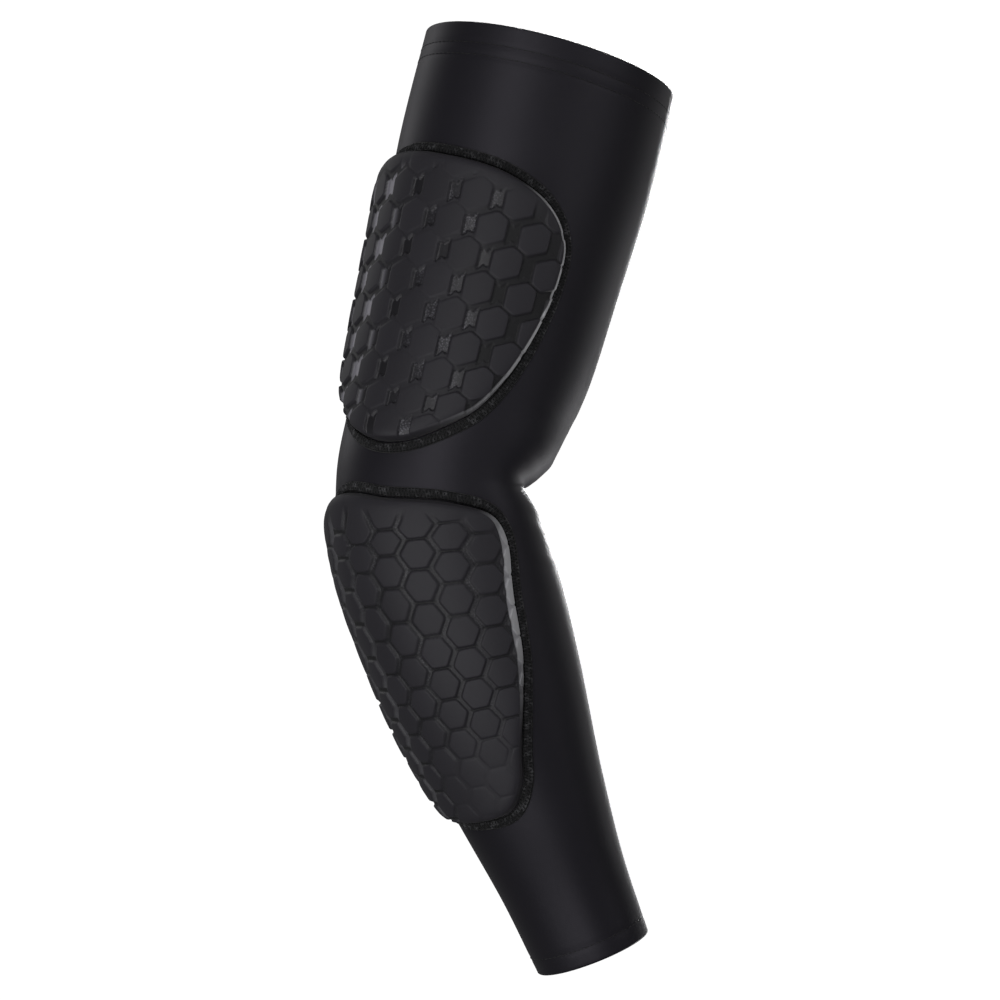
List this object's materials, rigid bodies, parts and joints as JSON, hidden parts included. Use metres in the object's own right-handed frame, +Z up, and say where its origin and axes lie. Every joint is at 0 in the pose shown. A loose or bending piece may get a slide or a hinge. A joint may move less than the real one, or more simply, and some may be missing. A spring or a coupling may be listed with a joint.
{
  "type": "padded compression arm sleeve",
  "caption": "Long padded compression sleeve for the arm: a stretch tube from upper arm to wrist, with a pad of raised hexagon blocks on the upper arm and another over elbow and forearm.",
  "frame": {"origin": "middle of the arm at the elbow, inside the sleeve, where the arm holds it", "axes": "+Z up along the arm from the wrist to the upper rim; +X to the inner side of the elbow and -X to its point; the arm bends in the XZ plane"},
  "size_m": [0.161, 0.1068, 0.4159],
  "materials": {
    "sleeve_cloth": "fine black knit of nylon and elastane with a soft sheen",
    "hem_cloth": "the sleeve's black knit, turned in and stitched",
    "pad_foam": "dark grey knit bonded over moulded foam blocks",
    "seam_thread": "matt black overlocked thread"
  },
  "bodies": {
    "root": {"compression_sleeve": "sleeve_cloth", "upper_hem": "hem_cloth", "wrist_hem": "hem_cloth", "elbow_pad": "pad_foam", "forearm_pad": "pad_foam", "elbow_pad_seam": "seam_thread", "forearm_pad_seam": "seam_thread"}
  },
  "joints": []
}
